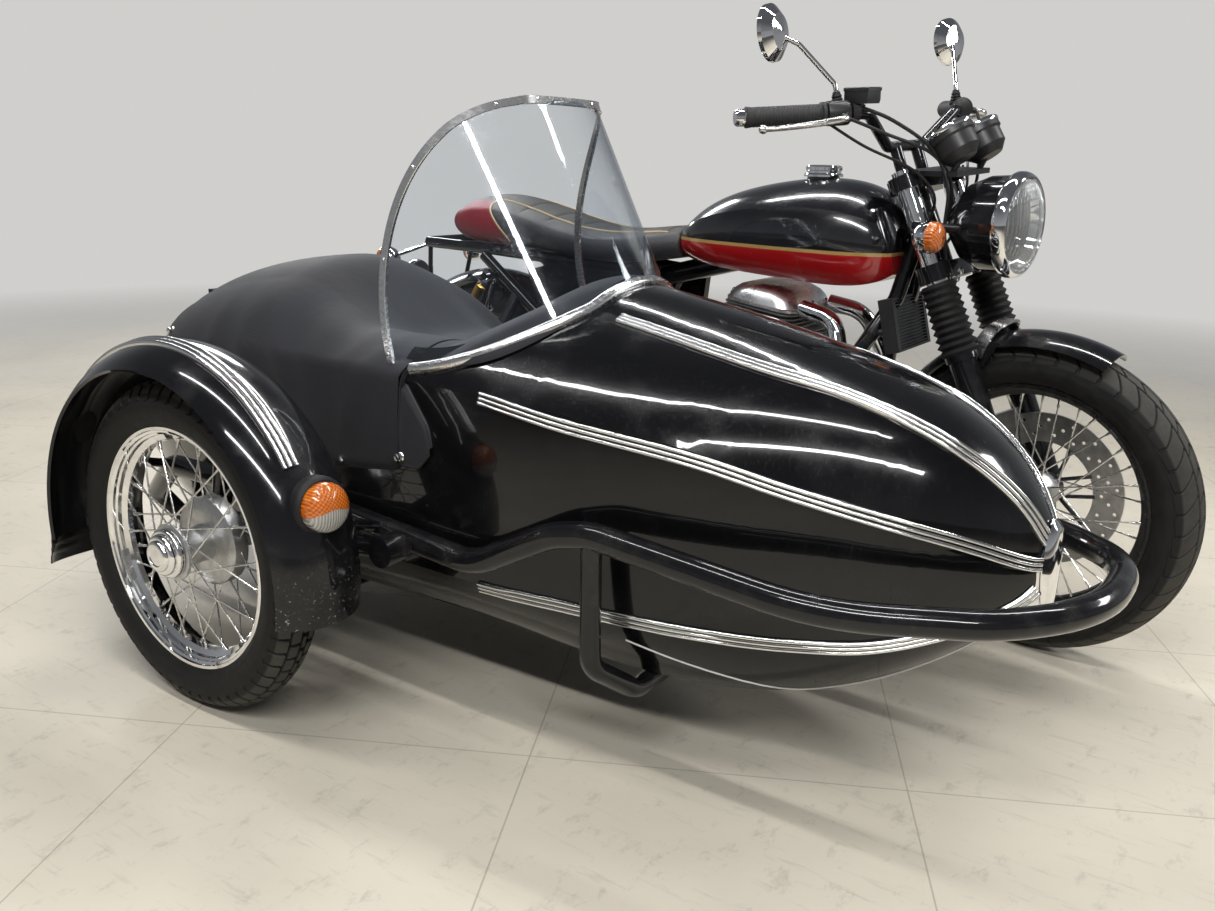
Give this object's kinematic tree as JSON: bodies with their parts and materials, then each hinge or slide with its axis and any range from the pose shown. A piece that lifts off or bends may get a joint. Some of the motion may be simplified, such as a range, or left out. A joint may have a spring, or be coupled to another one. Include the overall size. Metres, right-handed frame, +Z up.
{
  "type": "sidecar motorcycle",
  "caption": "Black retro twin-cylinder motorcycle with a torpedo-shaped one-seat touring sidecar under a cloth cockpit cover on its right side.",
  "frame": {"origin": "on the floor under the middle of the whole outfit's footprint", "axes": "+X forward, +Y to the rider's left, +Z up"},
  "size_m": [2.2352, 1.6414, 1.2718],
  "materials": {
    "black_paint": "gloss black stove enamel",
    "gloss_shell": "gloss black gel coat on glass fibre",
    "polished_metal": "bright chrome plate",
    "cast_alloy": "satin cast aluminium",
    "tyre_rubber": "matte black tread rubber",
    "soft_rubber": "matte black moulded rubber",
    "seat_vinyl": "grained black seat cover with a dark red panel",
    "cover_cloth": "charcoal coated cloth",
    "clear_sheet": "clear bent sheet with an aluminium edge",
    "lamp_glass": "clear fluted lamp glass in a chrome ring",
    "amber_lens": "amber lamp lens",
    "tank_paint": "gloss black over dark red with a gold line",
    "steel_chain": "oiled roller chain",
    "dial_black": "satin black housings"
  },
  "bodies": {
    "root": {"coupling_struts": "black_paint", "cradle_left": "black_paint", "cradle_right": "black_paint", "drive_chain": "steel_chain", "engine_case": "cast_alloy", "engine_top": "cast_alloy", "exhausts": "polished_metal", "footrests": "soft_rubber", "frame": "black_paint", "fuel_tank": "tank_paint", "nose_cap": "polished_metal", "oil_cooler": "black_paint", "rear_fender": "black_paint", "rear_shocks": "polished_metal", "seat": "seat_vinyl", "side_panels": "black_paint", "sidecar_body": "gloss_shell", "sidecar_chassis": "black_paint", "sidecar_lamps": "amber_lens", "sidecar_mudguard": "black_paint", "swing_arm": "black_paint", "tail_lamp": "amber_lens", "tonneau_cover": "cover_cloth", "wheel_arm": "black_paint", "wind_screen": "clear_sheet"},
    "steering": {"bar_controls": "cast_alloy", "bar_grips": "soft_rubber", "brake_caliper": "cast_alloy", "fork_gaiters": "soft_rubber", "fork_sliders": "black_paint", "fork_tubes": "polished_metal", "fork_yokes": "black_paint", "front_fender": "black_paint", "front_indicators": "amber_lens", "gauges": "dial_black", "handlebar": "black_paint", "headlamp_lens": "lamp_glass", "headlamp_shell": "black_paint", "mirrors": "polished_metal"},
    "front_wheel": {"front_wheel": "polished_metal", "front_tyre": "tyre_rubber"},
    "rear_wheel": {"rear_wheel": "polished_metal", "rear_tyre": "tyre_rubber"},
    "sidecar_wheel": {"sidecar_wheel": "polished_metal", "sidecar_tyre": "tyre_rubber"},
    "side_stand": {"side_stand": "black_paint"},
    "boot_lid": {"boot_lid": "gloss_shell"}
  },
  "joints": [
    {"name": "steering_turn", "type": "hinge", "parent": "root", "child": "steering", "pos_m": [0.90837, 0.41629, 0], "axis": [-0.4067, 0, 0.9135], "range_deg": [-28.8, 47.2]},
    {"name": "front_wheel_spin", "type": "hinge", "parent": "steering", "child": "front_wheel", "pos_m": [0.80198, 0.41106, 0.31833], "axis": [0.1461, 0.9871, 0.065], "continuous": true},
    {"name": "rear_wheel_spin", "type": "hinge", "parent": "root", "child": "rear_wheel", "pos_m": [-0.59763, 0.41629, 0.3195], "axis": [0, 1, 0], "continuous": true},
    {"name": "sidecar_wheel_spin", "type": "hinge", "parent": "root", "child": "sidecar_wheel", "pos_m": [-0.30663, -0.73471, 0.293], "axis": [0, 1, 0], "continuous": true},
    {"name": "side_stand_swing", "type": "hinge", "parent": "root", "child": "side_stand", "pos_m": [-0.07763, 0.55829, 0.172], "axis": [-0.0704, -0.7538, -0.6533], "range_deg": [0, 92]},
    {"name": "boot_lid_hinge", "type": "hinge", "parent": "root", "child": "boot_lid", "pos_m": [-0.85863, -0.22371, 0.64371], "axis": [0, 1, 0], "range_deg": [0, 75]}
  ]
}
